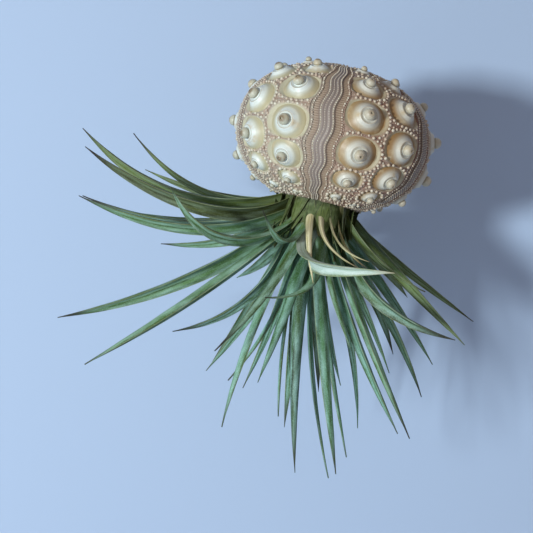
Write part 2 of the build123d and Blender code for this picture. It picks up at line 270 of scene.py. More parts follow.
# %% Wall, knob places and band lean
shell_radius = 33 * mm
shell_half_height = 24 * mm
oblate_power = 0.92
mouth_radius = 12.5 * mm
crown_radius = 11 * mm
row_count = 5
row_turn = 360 / row_count
front_band_azimuth = 262.5
band_half_angle = 10
band_wave_angle = 1.0
zigzag_angle = 3.5
lean_limit = 76
knob_angle = (row_turn / 2 - band_half_angle + zigzag_angle / 2) / 2
first_latitudes = [-57, -37, -14, 12, 39, 62]
second_latitudes = [-62, -47, -27, -2, 26, 51]
first_sizes = [0.42, 0.72, 0.98, 1, 0.86, 0.56]
second_sizes = [0.3, 0.6, 0.88, 1, 0.96, 0.76]


def wall_profile(latitude):
    """Radius and height of the bare wall at latitudes in degrees."""
    angle = np.radians(latitude)
    radius = shell_radius * np.cos(angle) ** oblate_power
    height = shell_half_height * np.sign(angle) * np.abs(np.sin(angle)) ** oblate_power
    return radius, height


def on_wall(azimuth, latitude, lift=0.0):
    """Points over the wall by a lift along its normal, in the holder's frame."""
    radius, height = wall_profile(latitude)
    after, before = wall_profile(latitude + 0.4), wall_profile(latitude - 0.4)
    run_radius, run_height = after[0] - before[0], after[1] - before[1]
    run = np.hypot(run_radius, run_height)
    radius = radius + lift * run_height / run
    height = height - lift * run_radius / run
    turn = np.radians(azimuth)
    return np.stack([radius * np.cos(turn), radius * np.sin(turn), height + shell_middle[2]], axis=-1)


def edge_latitude(radius):
    """The latitude, in degrees, at which the wall has a radius."""
    return math.degrees(math.acos((radius / shell_radius) ** (1 / oblate_power)))


profile_latitudes = np.linspace(-edge_latitude(mouth_radius), edge_latitude(crown_radius), 1201)
profile_radius, profile_height = wall_profile(profile_latitudes)
profile_steps = np.hypot(np.diff(profile_radius), np.diff(profile_height))
profile_lengths = np.concatenate([[0], np.cumsum(profile_steps)])
profile_length = profile_lengths[-1]
print("profile from mouth to crown:", round(profile_length / mm, 1), "mm")


def latitude_along(share):
    """The latitude at a share of the profile's length, from the mouth up."""
    return np.interp(share * profile_length, profile_lengths, profile_latitudes)


lean_stops = [(-lean_limit, 0), (lean_limit, 0)]
lean_stops += [(latitude, 1) for latitude in second_latitudes]
lean_stops += [(latitude, -1) for latitude in first_latitudes]
lean_places, leans = np.array(sorted(lean_stops), float).T


def band_lean(latitude):
    """How far a band leans, in degrees, away from each knob beside it."""
    after = np.clip(np.searchsorted(lean_places, latitude), 1, len(lean_places) - 1)
    share = (latitude - lean_places[after - 1]) / (lean_places[after] - lean_places[after - 1])
    eased = (1 - np.cos(np.pi * share)) / 2
    return band_wave_angle * (leans[after - 1] + (leans[after] - leans[after - 1]) * eased)


# %% [markdown]
# ## The knobs
# Each spine of the living urchin turned on a pierced ball that stands on a broad cone. A lathe makes
# such a form, so the half profile is drawn once as a chain of points, spun round its axis, and then
# scaled and set square on the wall for each of the sixty knobs.

# %% Spin one knob
knob_profile = [
    (6.5, -1.9), (6.2, -1.35), (5.85, -1.12), (5.4, -0.86), (4.95, -0.56), (4.55, -0.22), (4.3, 0.02),
    (4.12, 0.12), (3.95, 0.22), (3.65, 0.5), (3.36, 0.84), (3.14, 1.08), (2.98, 1.3), (2.8, 1.38),
    (2.6, 1.33), (2.35, 1.16), (2.1, 1.04), (1.85, 1.02), (1.62, 1.1), (1.5, 1.24), (1.6, 1.44),
    (1.82, 1.78), (1.92, 2.15), (1.86, 2.58), (1.64, 3.04), (1.3, 3.46), (0.92, 3.74), (0.58, 3.87),
    (0.4, 3.86), (0.34, 3.62), (0.28, 3.2), (0, 3.1),
]
knob_sides = 44


def spun(name, profile, sides):
    """A closed form turned from a half profile of (radius, height) in millimetres."""
    bpy.ops.object.select_all(action="DESELECT")
    bpy.ops.mesh.primitive_plane_add(size=1)
    piece = bpy.context.object
    piece.name = piece.data.name = name
    form = bmesh.new()
    chain = [form.verts.new((radius * mm, 0, height * mm)) for radius, height in profile]
    for first, second in zip(chain, chain[1:]):
        form.edges.new((first, second))
    form.to_mesh(piece.data)
    form.free()
    bpy.ops.object.mode_set(mode="EDIT")
    bpy.ops.mesh.select_all(action="SELECT")
    bpy.ops.mesh.spin(steps=sides, angle=math.tau, center=(0, 0, 0), axis=(0, 0, 1))
    bpy.ops.mesh.select_all(action="SELECT")
    bpy.ops.mesh.remove_doubles(threshold=0.01 * mm)
    bpy.ops.mesh.normals_make_consistent(inside=False)
    bpy.ops.object.mode_set(mode="OBJECT")
    return piece


knob_pattern = spun("knob_pattern", knob_profile, knob_sides)
print("one knob:", len(knob_pattern.data.polygons), "faces")

# %% [markdown]
# ## Beads
# Rings of small white beads frame every knob and edge every band. A bead is a ball of a few dozen
# faces with its foot cut flat, copied to hundreds of places in one mesh, each copy turned square to the
# wall. Each copy also stores a tone of its own, so that no two neighbours look the same.

# %% One bead, and copies of a form set on the wall
bpy.ops.mesh.primitive_ico_sphere_add(subdivisions=2, radius=1)
bead_pattern = bpy.context.object
bead_pattern.name = bead_pattern.data.name = "bead_pattern"
bpy.ops.object.mode_set(mode="EDIT")
bpy.ops.mesh.select_all(action="SELECT")
bpy.ops.mesh.bisect(plane_co=(0, 0, -0.25), plane_no=(0, 0, 1), use_fill=True, clear_inner=True)
bpy.ops.object.mode_set(mode="OBJECT")
print("one bead:", len(bead_pattern.data.polygons), "faces")
golden_share = 0.618


def tone_of(number):
    """A tone from 0 to 1 for each copy in a run, far from its neighbours' tones."""
    return (number * golden_share) % 1


def set_on_wall(name, pattern, places, middle=0.0, lift=0.0):
    """One mesh with a copy of the pattern at each (azimuth, latitude, size), square on the wall."""
    points = np.array([vertex.co for vertex in pattern.data.vertices])
    faces = [tuple(face.vertices) for face in pattern.data.polygons]
    azimuths, latitudes, sizes = np.array(places, float).T
    azimuths = middle + azimuths
    feet = on_wall(azimuths, latitudes, lift)
    out = on_wall(azimuths, latitudes, mm) - on_wall(azimuths, latitudes, 0.0)
    out /= np.linalg.norm(out, axis=1)[:, None]
    turn = np.radians(azimuths)
    aside = np.stack([-np.sin(turn), np.cos(turn), np.zeros_like(turn)], axis=-1)
    up = np.cross(out, aside)
    every, joined, tones = [], [], []
    for number in range(len(azimuths)):
        axes = np.stack([aside[number], up[number], out[number]]) * sizes[number]
        every.append(points @ axes + feet[number])
        joined += [tuple(corner + number * len(points) for corner in face) for face in faces]
        tones.append(np.full(len(points), tone_of(number)))
    mesh = bpy.data.meshes.new(name)
    mesh.from_pydata(np.concatenate(every).tolist(), [], joined)
    piece = bpy.data.objects.new(name, mesh)
    scene.collection.objects.link(piece)
    carry(piece, "tone", np.concatenate(tones))
    return piece


# %% [markdown]
# ## The plates of a double row
# Round each knob the plate is dished, and between the dishes it is grained ground, crossed by the seams
# of the plates. The dishes, rims and seams are pushed into the laid grid, and the same distances are
# stored on its points, so that the finish can tell dish from ground and paint shade next to each knob.

# %% Places of a row's knobs, and its relief
row_columns = ((-knob_angle, first_latitudes, first_sizes), (knob_angle, second_latitudes, second_sizes))
row_knobs = [
    (angle, latitude, size)
    for angle, latitudes, sizes in row_columns
    for latitude, size in zip(latitudes, sizes)
]
dish_width = 7.9 * mm
dish_height = 5.75 * mm
dish_squareness = 2.4


def seam_latitudes(latitudes):
    """The latitudes of the seams between the knobs of a column."""
    between = [(low + high) / 2 for low, high in zip(latitudes, latitudes[1:])]
    return [-lean_limit, *between, lean_limit]


def dish_reach(size):
    """Half width and half height of a knob's dish: small knobs have rounder dishes."""
    return dish_width * (size * (0.76 + 0.24 * min(1, size))), dish_height * size


def nearest_knob(azimuth, latitude):
    """Distance to the nearest knob in dish radii, for points given in a row's own angles."""
    places = on_wall(azimuth, latitude)
    nearest = np.full(len(places), 99.0)
    for angle, knob_latitude, size in row_knobs:
        middle = on_wall(angle, knob_latitude)
        turn = math.radians(angle)
        aside = np.array([-math.sin(turn), math.cos(turn), 0])
        off = places - middle
        sideways = off @ aside
        upward = np.sqrt(np.maximum((off**2).sum(axis=1) - sideways**2, 0))
        width, height = dish_reach(size)
        away = np.abs(sideways / width) ** dish_squareness + (upward / height) ** dish_squareness
        nearest = np.minimum(nearest, away ** (1 / dish_squareness))
    return nearest


def seam_distance(azimuth, latitude):
    """Distance, in metres, to the nearest seam between two plates."""
    radius = wall_profile(latitude)[0]
    half = zigzag_angle / 2
    edges = seam_latitudes(first_latitudes)
    stops = [(edge, -half) for edge in edges]
    stops += [((low + high) / 2, half) for low, high in zip(edges, edges[1:])]
    middle = np.interp(latitude, *np.array(sorted(stops)).T)
    nearest = np.abs(azimuth - middle) * np.pi / 180 * radius
    height = wall_profile(latitude)[1]
    for side, latitudes in ((-1, first_latitudes), (1, second_latitudes)):
        on_side = (azimuth - middle) * side > 0
        for edge in seam_latitudes(latitudes)[1:-1]:
            edge_radius, edge_height = wall_profile(edge)
            away = np.hypot(radius - edge_radius, height - edge_height)
            nearest = np.where(on_side, np.minimum(nearest, away), nearest)
    return nearest


def step_down(value, low, high):
    """A smooth step from 1 at low to 0 at high."""
    share = np.clip((value - low) / (high - low), 0, 1)
    return 1 - share * share * (3 - 2 * share)


# %% Finishes of the plates, knobs and beads
cream = (0.46, 0.46, 0.33)
ochre = (0.31, 0.165, 0.045)
lavender = (0.31, 0.28, 0.225)
mauve_brown = (0.25, 0.13, 0.08)
chalk_white = (0.62, 0.68, 0.62)
# Painted light and shade across the shell: fully lit left of the first place, fully shaded right of the
# second
lit_side_until, shaded_side_from = -17 * mm, 13 * mm


def painted_side_shade(here):
    """Painted light on the shell's left and painted shade on its right, as a share: 0 to 1."""
    sideways = grow("SeparateXYZ", {0: here}).outputs["X"]
    return level(sideways, lit_side_until, shaded_side_from)


plate_finish, tree, shader = new_finish("plate_chalk", 0.6)
here = object_place(tree)
right_side_shade = painted_side_shade(here)
blotches = level(noise(here, 130, 4), 0.32, 0.66)
# The dish's ochre is partly real blotches and partly painted shade: next to each knob's foot, and on the
# shell's right
stain_and_shade = plus(attribute(tree, "foot"), 0.3)
stain_and_shade = times(stain_and_shade, plus(blotches, 0.5))
stain_and_shade = times(stain_and_shade, plus(times(right_side_shade, 0.85), 0.22))
dish_colour = mix(stain_and_shade, cream, ochre)
# The ground is lavender in the painted light on the left and mauve brown in the painted shade on the right
ground_colour = mix(right_side_shade, lavender, mauve_brown)
patches = level(noise(here, 420), 0.35, 0.7)
ground_colour = mix(patches, ground_colour, (0.4, 0.3, 0.22))
specks = level(noise(here, 2100, 2), 0.56, 0.72)
ground_colour = mix(specks, ground_colour, (0.52, 0.49, 0.4))
colour = mix(attribute(tree, "ground"), dish_colour, ground_colour)
colour = mix(times(attribute(tree, "seam"), 0.6), colour, (0.22, 0.13, 0.1))
end_finish(shader, colour, noise(here, 2600, 4, 0.65), 0.4, 0.14 * mm)

knob_finish, tree, shader = new_finish("knob_chalk", 0.42)
here = object_place(tree)
rise = attribute(tree, "rise")
right_side_shade = painted_side_shade(here)
# The knob's foot is pale in the painted light on the left and ochre in the painted shade on the right
foot_colour = mix(right_side_shade, (0.4, 0.37, 0.22), (0.27, 0.15, 0.045))
stops = [(0.0, (0, 0, 0)), (0.12, (0.12, 0.12, 0.12)), (0.34, (1, 1, 1))]
above = ramp(rise, stops)
# Colours up the knob: painted shade on the parapet's crest and under the ball, and in the pit on its top
stops = [
    (0.2, (0.5, 0.54, 0.46)), (0.34, chalk_white), (0.5, (0.64, 0.71, 0.67)),
    (0.515, (0.36, 0.33, 0.24)), (0.6, (0.32, 0.29, 0.2)), (0.66, (0.48, 0.5, 0.4)),
    (0.9, (0.45, 0.46, 0.36)), (0.985, (0.2, 0.15, 0.09)),
]
# The upper knob is warmer and darker on the shell's right, as painted shade
upper = mix(times(right_side_shade, 0.55), ramp(rise, stops), (0.48, 0.42, 0.31))
colour = mix(above, foot_colour, upper)
colour = mix(level(noise(here, 300, 4), 0.5, 0.8), colour, (0.48, 0.4, 0.25))
ring_place = grow("CombineXYZ", {0: rise}).outputs[0]
rings = grow("TexWave", {"Vector": ring_place, "Scale": 11.0}).outputs["Fac"]
end_finish(shader, colour, rings, 0.1, 0.1 * mm)

bead_finish, tree, shader = new_finish("bead_chalk", 0.4)
here = object_place(tree)
colour = mix(attribute(tree, "tone"), (0.62, 0.62, 0.5), (0.46, 0.38, 0.28))
# Beads on the shell's right are browner, as painted shade
colour = mix(times(painted_side_shade(here), 0.35), colour, (0.48, 0.36, 0.24))
colour = mix(level(noise(here, 260), 0.5, 0.75), colour, (0.46, 0.36, 0.28))
end_finish(shader, colour)

# %% Lay the five double rows
row_half_angle = row_turn / 2 - band_half_angle
row_middles = [front_band_azimuth + row_turn / 2 + row_turn * row for row in range(row_count)]
edge_gap = 0.15
plate_thickness = 1.6 * mm
row_grid, band_grid = (112, 208), (44, 420)
dish_depth, rim_height = 1.0 * mm, 0.06 * mm
seam_depth, seam_width, seam_tint_width = 0.18 * mm, 0.28 * mm, 0.3 * mm
# The stored rise of a knob, in millimetres: how far below the wall it starts, and its span
rise_start, rise_span = 1.3, 5.2
relief_random = np.random.default_rng(7)


def row_angles(u, v):
    """A row's own azimuth and latitude at shares across and along it."""
    latitude = latitude_along(v)
    reach = row_half_angle - edge_gap
    return (2 * u - 1) * reach + band_lean(latitude), latitude


def row_relief(azimuth, latitude):
    """Lift of the plates' face over the bare wall."""
    away = nearest_knob(azimuth, latitude)
    dish = 0.72 * step_down(away, 0.84, 1.02) + 0.28 * step_down(away, 0.6, 0.86)
    rim = np.exp(-(((away - 1.07) / 0.06) ** 2))
    seam = np.exp(-((seam_distance(azimuth, latitude) / seam_width) ** 2)) * (1 - dish)
    return -dish_depth * dish + rim_height * rim - seam_depth * seam


for row, middle in enumerate(row_middles, 1):

    def place(u, v):
        azimuth, latitude = row_angles(u, v)
        return on_wall(azimuth + middle, latitude, row_relief(azimuth, latitude))

    plates = laid_grid(f"sculpted_row_{row}", *row_grid, place)
    azimuth, latitude = row_angles(*map_shares(plates))
    away = nearest_knob(azimuth, latitude)
    # How near a point is to a knob's foot, for the painted shade on the dish there
    carry(plates, "foot", step_down(away, 0.66, 0.93))
    carry(plates, "ground", 1 - step_down(away, 0.94, 1.05))
    carry(plates, "seam", np.exp(-((seam_distance(azimuth, latitude) / seam_tint_width) ** 2)))
    thicken(plates, plate_thickness, -1)
    smooth(plates, 50)
    dress(plates, plate_finish, "shell", "knob_plates", f"knob_row_{row}")

    knobs = set_on_wall(f"knobs_row_{row}", knob_pattern, row_knobs, middle)
    heights = np.tile([vertex.co.z for vertex in knob_pattern.data.vertices], len(row_knobs))
    carry(knobs, "rise", (heights / mm + rise_start) / rise_span)
    smooth(knobs, 60)
    dress(knobs, knob_finish, "shell", "knob_plates")

# %% [markdown]
# The beads of a row stand in a ring round every dish, one row of beads serving two dishes where they
# meet, and finer grains fill the ground between. Both are placed by rule: a place is kept when it is
# off every dish, inside the row and far enough from the beads already kept.

# %% Set the beads and grains of the rows
def set_beads(name, places, middle, lift, slot_name):
    """A finished piece of beads on the shell, each at (azimuth from the middle, latitude, size)."""
    beads = set_on_wall(name, bead_pattern, places, middle, lift)
    smooth(beads, 80)
    dress(beads, bead_finish, "shell", slot_name)


edge_margin = 1.5
border_width = 0.55 * mm
ring_wide_share, ring_tall_share = 1.06, 1.085
ring_pitch = 1.5 * mm
# How far beads of a ring, and then grains, keep from others, and from a knob in dish radii
ring_spacing, grain_spacing = 1.1 * mm, 0.95 * mm
ring_clearance, grain_clearance = 1.01, 1.06
grain_tries_count = 3600


def kept_places(tries, spacing, kept, clear_of_knobs):
    """Adds (azimuth, latitude, size) tries to kept where they are free; spacing is in metres."""
    places = [on_wall(azimuth, latitude) for azimuth, latitude, _ in kept]
    lowest, highest = edge_margin - edge_latitude(mouth_radius), edge_latitude(crown_radius) - edge_margin
    for azimuth, latitude, size in tries:
        if not lowest < latitude < highest:
            continue
        border = math.degrees(border_width / wall_profile(latitude)[0])
        if abs(azimuth - band_lean(latitude)) > row_half_angle - border:
            continue
        if nearest_knob(np.array([azimuth]), np.array([latitude]))[0] < clear_of_knobs:
            continue
        spot = on_wall(azimuth, latitude)
        if places and np.min(np.linalg.norm(np.array(places) - spot, axis=1)) < spacing:
            continue
        places.append(spot)
        kept.append((azimuth, latitude, size))
    return kept


ring_tries = []
for angle, latitude, size in row_knobs:
    radius = wall_profile(latitude)[0]
    above, below = wall_profile(latitude + 0.5), wall_profile(latitude - 0.5)
    latitude_length = np.linalg.norm(np.subtract(above, below))
    wide, tall = dish_reach(size)
    wide, tall = wide * ring_wide_share, tall * ring_tall_share
    count = max(8, round(math.pi * (wide + tall) / ring_pitch))
    for number in range(count):
        turn = math.tau * (number + 0.5) / count
        across, up = math.cos(turn), math.sin(turn)
        stretch = (abs(across) ** dish_squareness + abs(up) ** dish_squareness) ** (-1 / dish_squareness)
        aside = math.degrees(wide * across * stretch / radius)
        rise = tall * up * stretch / latitude_length
        ring_tries.append((angle + aside, latitude + rise, relief_random.uniform(0.42, 0.6) * mm))
ring_places = kept_places(ring_tries, ring_spacing, [], ring_clearance)
grain_tries = [
    (azimuth, latitude, size * mm)
    for azimuth, latitude, size in zip(
        relief_random.uniform(-30, 30, grain_tries_count),
        np.degrees(np.arcsin(relief_random.uniform(-0.95, 0.96, grain_tries_count))),
        relief_random.uniform(0.18, 0.4, grain_tries_count),
    )
]
row_places = kept_places(grain_tries, grain_spacing, list(ring_places), grain_clearance)
print("beads and grains on one row:", len(ring_places), len(row_places) - len(ring_places))
for row, middle in enumerate(row_middles, 1):
    set_beads(f"beads_row_{row}", row_places, middle, 0.04 * mm, "knob_plates")

# %% [markdown]
# ## The winding bands
# A band carries the fine pores of the living urchin: a raised middle strip with lines of beads, and on
# each side a sunken zone that is ribbed across. The ribs are as fine as the beads are spaced, so the
# grid is long and narrow, and the finish reads the grid's own map to colour the strips.

# %% Finish of the bands
bead_pitch = 0.78 * mm
rib_count = round(profile_length / bead_pitch)
band_finish, tree, shader = new_finish("band_chalk", 0.6)
shares = wire(tree, "SeparateXYZ", {0: wire(tree, "TexCoord").outputs["UV"]})
here = object_place(tree)
from_middle = off_middle(shares.outputs["X"])
stops = [
    (0.0, (0.15, 0.11, 0.1)), (0.05, (0.42, 0.37, 0.35)), (0.15, (0.42, 0.37, 0.35)),
    (0.2, (0.17, 0.13, 0.12)), (0.26, (0.24, 0.19, 0.18)), (0.32, (0.5, 0.46, 0.4)),
    (0.4, (0.46, 0.4, 0.33)), (0.45, (0.1, 0.065, 0.045)), (0.54, (0.3, 0.19, 0.11)),
    (0.74, (0.46, 0.34, 0.21)), (0.8, (0.3, 0.2, 0.13)), (0.9, (0.5, 0.42, 0.34)),
]
strips = ramp(from_middle, stops)
rib_turn = times(shares.outputs["Y"], math.tau * rib_count)
ribs = plus(times(sums("COSINE", rib_turn, 0.0), 0.5), 0.5)
rib_share = times(times(ribs, level(from_middle, 0.46, 0.52)), 0.55)
colour = mix(rib_share, strips, (0.54, 0.43, 0.31))
# The band is paler in the painted light on the shell's left
left_side_light = sums("SUBTRACT", 0.35, times(painted_side_shade(here), 0.35))
colour = mix(left_side_light, colour, (0.56, 0.52, 0.5))
colour = mix(times(noise(here, 350), 0.25), colour, (0.4, 0.29, 0.22))
colour = tinted(colour, (0.6, 0.585, 0.545))
# The band's margins take the ground's colours, with painted light on the left and painted shade on the
# right
margin = mix(painted_side_shade(here), lavender, mauve_brown)
colour = mix(level(from_middle, 0.76, 0.8), colour, margin)
end_finish(shader, colour, noise(here, 3000, 4, 0.65), 0.3, 0.1 * mm)

# %% Lay the bands and set their beads
band_thickness = 1.5 * mm
# Depths and heights on a band's face, in millimetres
zone_depth, rib_height, edge_height = 0.42, 0.2, 0.3
crease_depth, line_height = 0.14, 0.08


def band_relief(across, v):
    """Lift of a band's face: across runs from -1 to 1 over its width."""
    side = np.abs(across)
    sunk = 1 - step_down(side, 0.42, 0.5)
    ribs = 0.5 + 0.5 * np.cos(math.tau * rib_count * v)
    crease = np.exp(-((side / 0.045) ** 2))
    lines = np.exp(-(((side - 0.2) / 0.07) ** 2))
    edge = 1 - step_down(side, 0.93, 1.0)
    zones = -zone_depth * sunk + rib_height * sunk * ribs * (1 - edge) + edge_height * edge * sunk
    return (zones - crease_depth * crease + line_height * lines) * mm


def uneven(rib, number):
    """Size share of a bead on a band's edge: a wave whose beats differ from band to band."""
    return 0.82 + 0.3 * math.sin(2.1 * rib + number)


# Lines of beads: share from the band's middle to its edge, size in millimetres, shift along in ribs
edge_row_place = 0.85
band_bead_rows = ((0.36, 0.27, 0.0), (0.12, 0.18, 0.5), (edge_row_place, 0.34, 0.3))
for number in range(row_count):
    middle = front_band_azimuth + row_turn * number

    def place(u, v):
        latitude = latitude_along(v)
        across = 2 * u - 1
        azimuth = across * (band_half_angle - edge_gap) + band_lean(latitude)
        return on_wall(azimuth + middle, latitude, band_relief(across, v))

    band = laid_grid(f"sculpted_band_{number + 1}", *band_grid, place)
    thicken(band, band_thickness, -1)
    smooth(band, 60)
    dress(band, band_finish, "shell", "band_plates", f"winding_band_{number + 1}")

    places = []
    for across, size, phase in band_bead_rows:
        for side in (-1, 1):
            for rib in range(1, rib_count - 1):
                stagger = 0.5 if side > 0 else 0
                latitude = latitude_along((rib + phase + stagger) / rib_count)
                azimuth = middle + band_lean(latitude) + side * across * band_half_angle
                share = uneven(rib, number) if across == edge_row_place else 1
                narrowing = min(1, 0.45 + 0.66 * math.cos(math.radians(latitude)))
                places.append((azimuth, latitude, share * size * mm * narrowing))
    set_beads(f"beads_band_{number + 1}", places, 0, 0.05 * mm, "band_plates")

# %% [markdown]
# ## The crown ring
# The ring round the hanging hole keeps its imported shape, with its bore true to size, so it only gets a
# finish and four circles of beads, in ten groups. It is seen from above, where the shell is hung.

# %% Finish the crown ring
crown_finish, tree, shader = new_finish("crown_chalk", 0.6)
here = object_place(tree)
colour = mix(noise(here, 300), cream, (0.6, 0.5, 0.45))
colour = mix(level(noise(here, 1500, 2), 0.5, 0.7), colour, chalk_white)
end_finish(shader, colour, noise(here, 1800, 4, 0.6), 0.4, 0.15 * mm)
coat(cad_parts["crown_ring"], crown_finish)

# Circles of beads: radius and size in millimetres, and how many a full circle has
crown_circles = ((5.0, 0.4, 24), (6.8, 0.34, 36), (8.8, 0.4, 44), (10.1, 0.3, 56))
group_half_angle = 15.5
places = []
for radius, size, count in crown_circles:
    for number in range(count):
        turn = 360 * number / count
        if abs((turn - row_turn / 4) % (row_turn / 2) - row_turn / 4) > group_half_angle:
            continue
        places.append((turn, edge_latitude(radius * mm), size * mm))
set_beads("beads_crown", places, 0, 0.02 * mm, "crown_plates")
print("beads on the crown:", len(places))
for pattern in (knob_pattern, bead_pattern):
    bpy.data.objects.remove(pattern)

# %% [markdown]
# ## The leaves
# A leaf of an air plant is a tapering blade, folded into a shallow channel, thick along its middle and
# thin at its edges. It starts as a flat grid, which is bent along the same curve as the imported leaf,
# curled across, and then given its thickness. Shares along the curve set its width and its curl.

# %% The plant's table of leaves
leaf_reach = 100 * mm
leaf_width = 5.8 * mm
leaf_thickness = 1.3 * mm
leaf_channel = 2.9 * mm
bulb_radius = 12.2 * mm
bulb_drop = 20 * mm
mouth_height = -45.73 * mm
station_shares = [0, 0.08, 0.22, 0.42, 0.64, 0.84, 1]
width_shares = [1.4, 1.32, 1.14, 0.96, 0.7, 0.38, 0.03]
thickness_shares = [0.6, 0.65, 0.8, 1, 0.95, 0.75, 0.3]
channel_shares = [0.5, 0.6, 0.82, 1, 0.86, 0.52, 0.05]
# Rings of leaves in the bulb: how far down and how far out each is seated, as shares of the bulb
seat_shares = {
    "outer": (0.1, 0.8),
    "second": (0.27, 0.68),
    "third": (0.42, 0.55),
    "fourth": (0.56, 0.4),
    "heart": (0.66, 0.25),
    "tip": (0.7, 0.11),
}

# Leaves of each ring: azimuth on the bulb, points along the leaf as shares of the reach, width share
leaf_shares = {
    "outer": [
        (6, [(0.25, 0.02, -0.125), (0.61, 0.06, -0.355)], 0.66),
        (34, [(0.34, 0.16, -0.14), (0.65, 0.24, -0.27)], 0.5),
        (64, [(0.25, 0.33, -0.12), (0.44, 0.6, -0.24)], 0.8),
        (92, [(0.02, 0.42, -0.1), (0.04, 0.76, -0.08)], 0.9),
        (118, [(-0.2, 0.38, -0.11), (-0.36, 0.68, -0.04)], 0.8),
        (142, [(-0.36, 0.22, -0.05), (-0.63, 0.32, -0.01)], 0.62),
        (162, [(-0.4, 0.1, -0.05), (-0.68, 0.14, 0.095)], 0.5),
        (184, [(-0.39, -0.02, -0.095), (-0.835, 0.0, 0.06)], 0.95),
        (210, [(-0.19, -0.11, -0.09), (-0.47, -0.17, -0.112), (-0.78, -0.2, -0.01)], 0.8),
        (342, [(0.24, -0.1, -0.15), (0.41, -0.14, -0.21)], 0.42),
    ],
    "second": [
        (20, [(0.26, 0.09, -0.2), (0.53, 0.14, -0.45)], 0.6),
        (48, [(0.24, 0.24, -0.22), (0.42, 0.44, -0.46)], 0.72),
        (78, [(0.07, 0.36, -0.22), (0.12, 0.66, -0.34)], 0.8),
        (108, [(-0.12, 0.35, -0.22), (-0.22, 0.63, -0.32)], 0.78),
        (136, [(-0.28, 0.25, -0.2), (-0.52, 0.42, -0.26)], 0.7),
        (160, [(-0.36, 0.13, -0.15), (-0.65, 0.2, -0.176)], 0.55),
        (181, [(-0.38, 0.01, -0.17), (-0.785, 0.02, -0.162)], 0.66),
        (204, [(-0.31, -0.14, -0.175), (-0.76, -0.22, -0.17)], 0.75),
        (228, [(-0.17, -0.2, -0.18), (-0.29, -0.3, -0.2), (-0.464, -0.38, -0.08)], 0.8),
        (250, [(-0.08, -0.25, -0.165), (-0.17, -0.4, -0.084)], 0.5),
        (284, [(0.01, -0.28, -0.215), (0.1, -0.4, -0.215), (0.266, -0.45, -0.18)], 0.9),
        (338, [(0.215, -0.12, -0.25), (0.53, -0.22, -0.34)], 0.9),
    ],
    "third": [
        (2, [(0.27, 0.02, -0.27), (0.499, 0.0, -0.56)], 0.66),
        (36, [(0.24, 0.16, -0.3), (0.4, 0.24, -0.52)], 0.45),
        (76, [(0.1, 0.27, -0.38), (0.18, 0.42, -0.66)], 0.75),
        (116, [(-0.13, 0.24, -0.38), (-0.23, 0.38, -0.64)], 0.72),
        (152, [(-0.28, 0.13, -0.3), (-0.516, 0.18, -0.458)], 0.66),
        (184, [(-0.33, -0.03, -0.335), (-0.765, -0.02, -0.584)], 0.9),
        (217, [(-0.26, -0.14, -0.35), (-0.62, -0.18, -0.7)], 1),
        (246, [(-0.11, -0.24, -0.37), (-0.215, -0.33, -0.547)], 0.62),
        (272, [(-0.03, -0.33, -0.33), (-0.1, -0.37, -0.345)], 0.55),
        (298, [(0.13, -0.24, -0.33), (0.2, -0.32, -0.44)], 0.55),
        (328, [(0.25, -0.14, -0.4), (0.47, -0.16, -0.69)], 0.75),
    ],
    "fourth": [
        (348, [(0.24, -0.04, -0.44), (0.444, -0.04, -0.696)], 0.72),
        (38, [(0.22, 0.14, -0.42), (0.337, 0.25, -0.74)], 0.45),
        (88, [(0.04, 0.19, -0.5), (0.08, 0.26, -0.8)], 0.7),
        (136, [(-0.13, 0.12, -0.42), (-0.24, 0.18, -0.66)], 0.6),
        (180, [(-0.198, -0.01, -0.43), (-0.377, 0.0, -0.54)], 0.65),
        (226, [(-0.1, -0.16, -0.43), (-0.138, -0.22, -0.789)], 0.78),
        (264, [(-0.03, -0.25, -0.42), (-0.06, -0.33, -0.612)], 0.62),
        (302, [(0.12, -0.16, -0.475), (0.261, -0.17, -0.858)], 0.92),
    ],
    "heart": [
        (324, [(0.16, -0.06, -0.52), (0.294, -0.05, -0.812)], 0.62),
        (264, [(0.043, -0.12, -0.5), (0.132, -0.13, -0.891)], 0.6),
        (214, [(-0.08, -0.08, -0.5), (-0.155, -0.1, -0.649)], 0.55),
        (18, [(0.14, 0.05, -0.42), (0.23, 0.1, -0.593)], 0.5),
    ],
}
heart_leaf_shares = [
    ("heart", 84, [(0.03, 0.1, -0.46), (0.06, 0.15, -0.6)], 0.5),
    ("heart", 150, [(-0.06, 0.06, -0.48), (-0.1, 0.08, -0.68)], 0.5),
    ("tip", 330, [(0.11, -0.01, -0.56), (0.256, 0.0, -0.902)], 0.5),
    ("tip", 90, [(0.03, 0.03, -0.5), (0.078, 0.06, -0.673)], 0.4),
    ("tip", 210, [(0.0, -0.02, -0.48), (0.038, -0.02, -0.736)], 0.4),
]
dry_leaf_shares = [
    ("outer", 258, [(0.0, -0.2, -0.15), (0.04, -0.27, -0.27)], 0.341),
    ("outer", 282, [(0.06, -0.21, -0.14), (0.18, -0.29, -0.19)], 0.31),
    ("outer", 300, [(0.1, -0.18, -0.13), (0.2, -0.24, -0.16)], 0.248),
    ("outer", 318, [(0.12, -0.14, -0.13), (0.2, -0.19, -0.18)], 0.248),
]

# %% Lay one blade
def curve_at(points, shares):
    """Points at shares of the smooth curve through all the given points."""
    spans = np.linalg.norm(np.diff(points, axis=0), axis=1)
    knots = np.concatenate([[0], np.cumsum(spans)]) / spans.sum()
    total = np.zeros((len(shares), 3))
    for i, point in enumerate(points):
        weight = np.ones(len(shares))
        for j, knot in enumerate(knots):
            if j != i:
                weight *= (shares - knot) / (knots[i] - knot)
        total += weight[:, None] * point
    return total


# A blade is turned about its own run until its broad face is seen from the front, and is laid a
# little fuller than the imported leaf, whose edges can't be as thin
face_turn = math.radians(42)
fullness = 1.2
edge_weight = 0.16


